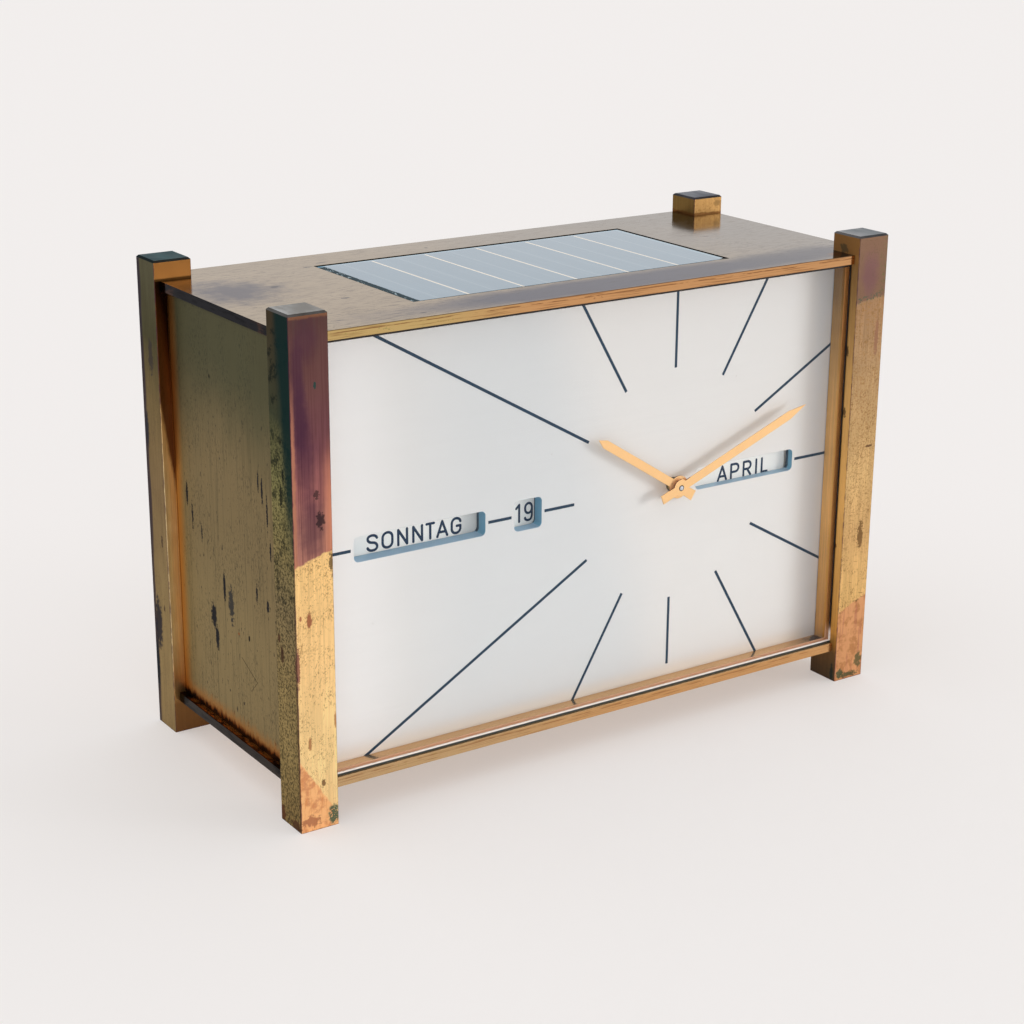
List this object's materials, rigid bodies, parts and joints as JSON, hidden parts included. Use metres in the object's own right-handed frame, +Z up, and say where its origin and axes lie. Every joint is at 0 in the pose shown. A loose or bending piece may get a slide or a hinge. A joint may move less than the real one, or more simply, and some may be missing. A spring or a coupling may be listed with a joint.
{
  "type": "desk clock with calendar",
  "caption": "Desk clock with square metal posts, glazed front, silvered dial with day, date and month windows, light cells in the top and a wound movement.",
  "frame": {"origin": "on the table, under the middle of the case", "axes": "+X to the right of the dial, +Y to the back, +Z up"},
  "size_m": [0.212, 0.094, 0.149],
  "materials": {
    "post": "aged brushed brass",
    "case_plate": "aged semi-polished brass",
    "panel": "aged brushed brass",
    "cover": "brushed brass",
    "front_glass": "polished",
    "seal": "matt",
    "solar_glass": "polished",
    "solar_cell": "satin cells with pale dividing lines",
    "tray": "matt",
    "dial": "silvered satin",
    "window_frame": "satin",
    "marker": "matt",
    "card": "matt with printed words and numbers",
    "hand": "gilt",
    "movement_brass": "gilt",
    "steel": "polished",
    "motor": "drawn can",
    "accumulator": "wrapped",
    "board": "laminate",
    "lead": "insulated",
    "knob": "turned, knurled rim"
  },
  "bodies": {
    "case": {"post_front_left": "post", "post_front_right": "post", "post_rear_left": "post", "post_rear_right": "post", "top_plate": "case_plate", "bottom_plate": "case_plate", "side_panel_left": "panel", "side_panel_right": "panel", "rear_cover": "cover", "cover_lugs": "movement_brass", "rear_cover_screws": "steel", "front_glass": "front_glass", "glass_seal": "seal", "solar_glass": "solar_glass", "solar_cells": "solar_cell", "solar_tray": "tray", "dial_plate": "dial", "window_frames": "window_frame", "hour_markers": "marker", "centre_tube": "movement_brass", "date_ring_guides": "movement_brass", "wheel_studs": "steel", "calendar_jumpers": "steel", "chassis_spacers": "movement_brass", "chassis_plate": "movement_brass", "movement_front_plate": "movement_brass", "movement_rear_plate": "movement_brass", "movement_pillars": "movement_brass", "winding_motor": "motor", "hairspring": "steel", "corrector_bushes": "knob", "accumulator": "accumulator", "accumulator_clip": "steel", "terminal_board": "board", "lead_wires": "lead"},
    "minute_arbor": {"minute_hand": "hand", "cannon_pinion": "steel"},
    "hour_arbor": {"hour_hand": "hand", "hour_wheel": "movement_brass"},
    "minute_wheel": {"minute_wheel": "movement_brass"},
    "setting_shaft": {"setting_arbor": "steel", "setting_knob": "knob"},
    "date_drive": {"date_drive_wheel": "movement_brass"},
    "day_drive": {"day_drive_wheel": "movement_brass"},
    "month_disc": {"month_disc": "card"},
    "date_ring": {"date_ring": "card"},
    "day_disc": {"day_disc": "card"},
    "centre_wheel": {"centre_wheel": "movement_brass"},
    "third_wheel": {"third_wheel": "movement_brass"},
    "fourth_wheel": {"fourth_wheel": "movement_brass"},
    "escape_wheel": {"escape_wheel": "steel"},
    "pallet_lever": {"pallet_lever": "steel"},
    "balance": {"balance_wheel": "movement_brass"},
    "barrel": {"mainspring_barrel": "movement_brass", "mainspring": "steel"},
    "winding_wheel": {"winding_wheel": "steel"},
    "motor_rotor": {"motor_pinion": "steel"},
    "day_corrector": {"day_corrector": "knob"},
    "date_corrector": {"date_corrector": "knob"},
    "month_corrector": {"month_corrector": "knob"}
  },
  "joints": [
    {"name": "minute_hand_turn", "type": "hinge", "parent": "case", "child": "minute_arbor", "pos_m": [0.03133, 0, 0.0767], "axis": [0, 1, 0], "continuous": true},
    {"name": "hour_hand_turn", "type": "hinge", "parent": "case", "child": "hour_arbor", "pos_m": [0.03133, 0, 0.0767], "axis": [0, 1, 0], "continuous": true},
    {"name": "minute_wheel_turn", "type": "hinge", "parent": "case", "child": "minute_wheel", "pos_m": [0.03133, 0, 0.0647], "axis": [0, 1, 0], "continuous": true},
    {"name": "setting_knob_turn", "type": "hinge", "parent": "case", "child": "setting_shaft", "pos_m": [0.03133, 0, 0.0527], "axis": [0, 1, 0], "continuous": true},
    {"name": "date_drive_turn", "type": "hinge", "parent": "case", "child": "date_drive", "pos_m": [0.05627, 0, 0.0911], "axis": [0, 1, 0], "continuous": true},
    {"name": "day_drive_turn", "type": "hinge", "parent": "case", "child": "day_drive", "pos_m": [0.00253, 0, 0.0767], "axis": [0, 1, 0], "continuous": true},
    {"name": "month_disc_turn", "type": "hinge", "parent": "case", "child": "month_disc", "pos_m": [0.03133, 0, 0.0767], "axis": [0, 1, 0], "continuous": true},
    {"name": "date_ring_turn", "type": "hinge", "parent": "case", "child": "date_ring", "pos_m": [0.03133, 0, 0.0767], "axis": [0, 1, 0], "continuous": true},
    {"name": "day_disc_turn", "type": "hinge", "parent": "case", "child": "day_disc", "pos_m": [-0.02808, 0, 0.0767], "axis": [0, 1, 0], "continuous": true},
    {"name": "fourth_wheel_turn", "type": "hinge", "parent": "case", "child": "fourth_wheel", "pos_m": [0.05506, 0, 0.08379], "axis": [0, 1, 0], "continuous": true},
    {"name": "third_wheel_turn", "type": "hinge", "parent": "case", "child": "third_wheel", "pos_m": [0.04033, 0, 0.09229], "axis": [0, 1, 0], "continuous": true},
    {"name": "centre_wheel_turn", "type": "hinge", "parent": "case", "child": "centre_wheel", "pos_m": [0.03133, 0, 0.0767], "axis": [0, 1, 0], "continuous": true},
    {"name": "barrel_turn", "type": "hinge", "parent": "case", "child": "barrel", "pos_m": [0.01471, 0, 0.0863], "axis": [0, 1, 0], "continuous": true},
    {"name": "escape_wheel_turn", "type": "hinge", "parent": "case", "child": "escape_wheel", "pos_m": [0.05256, 0, 0.06961], "axis": [0, 1, 0], "continuous": true},
    {"name": "winding_wheel_turn", "type": "hinge", "parent": "case", "child": "winding_wheel", "pos_m": [0.01471, 0, 0.0863], "axis": [0, 1, 0], "continuous": true},
    {"name": "motor_turn", "type": "hinge", "parent": "case", "child": "motor_rotor", "pos_m": [-0.00809, 0, 0.0863], "axis": [0, 1, 0], "continuous": true},
    {"name": "lever_swing", "type": "hinge", "parent": "case", "child": "pallet_lever", "pos_m": [0.05586, 0, 0.06389], "axis": [0, 1, 0], "range_deg": [-5, 5]},
    {"name": "balance_swing", "type": "hinge", "parent": "case", "child": "balance", "pos_m": [0.06116, 0, 0.05471], "axis": [0, 1, 0], "range_deg": [-220, 220], "stiffness_Nm_per_rad": 0.00002},
    {"name": "day_corrector_press", "type": "slide", "parent": "case", "child": "day_corrector", "axis": [0, -1, 0], "range_m": [0, 0.0024], "stiffness_N_per_m": 300, "springref_m": -0.001},
    {"name": "date_corrector_press", "type": "slide", "parent": "case", "child": "date_corrector", "axis": [0, -1, 0], "range_m": [0, 0.0024], "stiffness_N_per_m": 300, "springref_m": -0.001},
    {"name": "month_corrector_press", "type": "slide", "parent": "case", "child": "month_corrector", "axis": [0, -1, 0], "range_m": [0, 0.0024], "stiffness_N_per_m": 300, "springref_m": -0.001}
  ],
  "couplings": [
    {"joint": "hour_hand_turn", "follows": "minute_hand_turn", "ratio": 0.083333},
    {"joint": "minute_wheel_turn", "follows": "minute_hand_turn", "ratio": -0.33333},
    {"joint": "setting_knob_turn", "follows": "minute_hand_turn", "ratio": 1},
    {"joint": "date_drive_turn", "follows": "minute_hand_turn", "ratio": -0.041667},
    {"joint": "day_drive_turn", "follows": "minute_hand_turn", "ratio": -0.041667},
    {"joint": "third_wheel_turn", "follows": "fourth_wheel_turn", "ratio": -0.13333},
    {"joint": "centre_wheel_turn", "follows": "fourth_wheel_turn", "ratio": 0.016667},
    {"joint": "barrel_turn", "follows": "fourth_wheel_turn", "ratio": -0.002381},
    {"joint": "escape_wheel_turn", "follows": "fourth_wheel_turn", "ratio": -8},
    {"joint": "motor_turn", "follows": "winding_wheel_turn", "ratio": -8.5}
  ]
}
